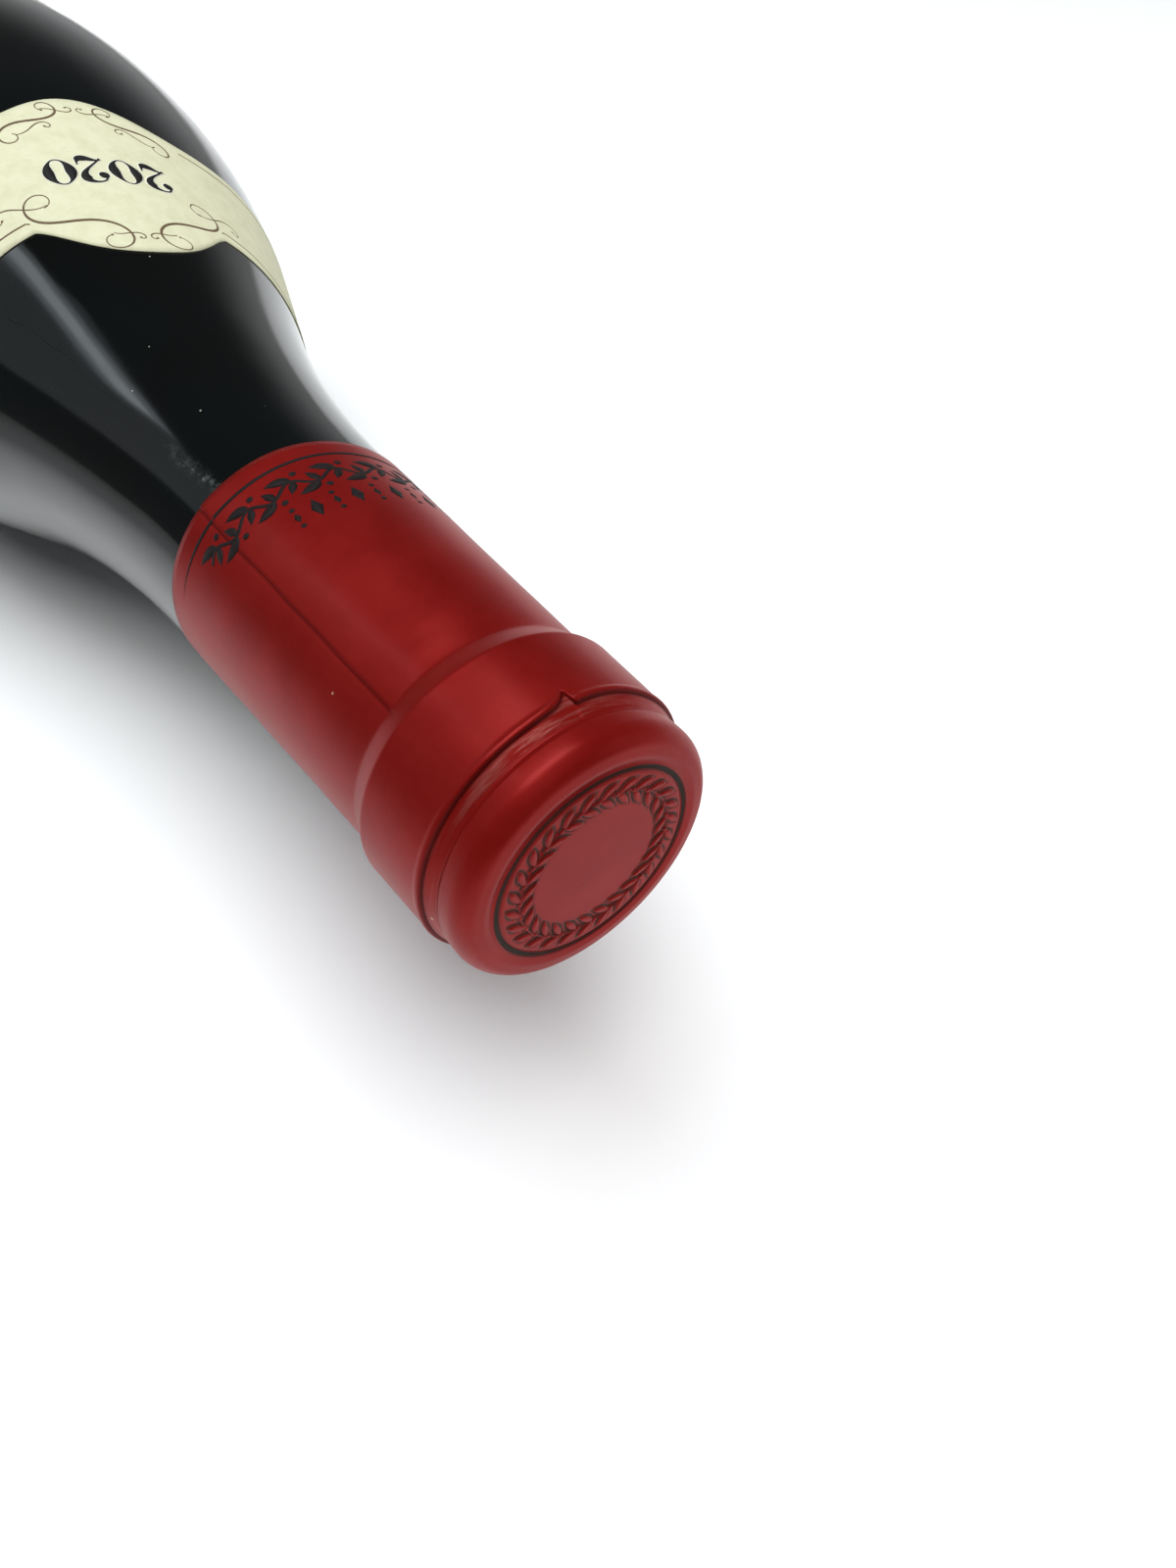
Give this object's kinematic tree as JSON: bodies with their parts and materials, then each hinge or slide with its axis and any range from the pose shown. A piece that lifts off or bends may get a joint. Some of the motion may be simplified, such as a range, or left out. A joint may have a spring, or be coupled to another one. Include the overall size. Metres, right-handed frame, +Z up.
{
  "type": "wine bottle",
  "caption": "Full wine bottle with sloping shoulders, tin capsule, banded neck label and plain front label, lying on its side.",
  "frame": {"origin": "below the middle of the bottle, on the surface it lies on", "axes": "+X along the bottle's axis from the base to the mouth, +Z up with the bottle lying on its side"},
  "size_m": [0.296, 0.082, 0.0818],
  "materials": {
    "dark_glass": "glossy, nearly black green glass filled with red wine",
    "red_tin": "satin red lacquer on tin",
    "cream_paper": "uncoated cream paper with faint mottling",
    "black_print": "flat black printing ink",
    "brown_print": "fine brown printed line"
  },
  "bodies": {
    "root": {"glass_bottle": "dark_glass", "capsule": "red_tin", "neck_label": "cream_paper", "front_label": "cream_paper"}
  },
  "joints": []
}
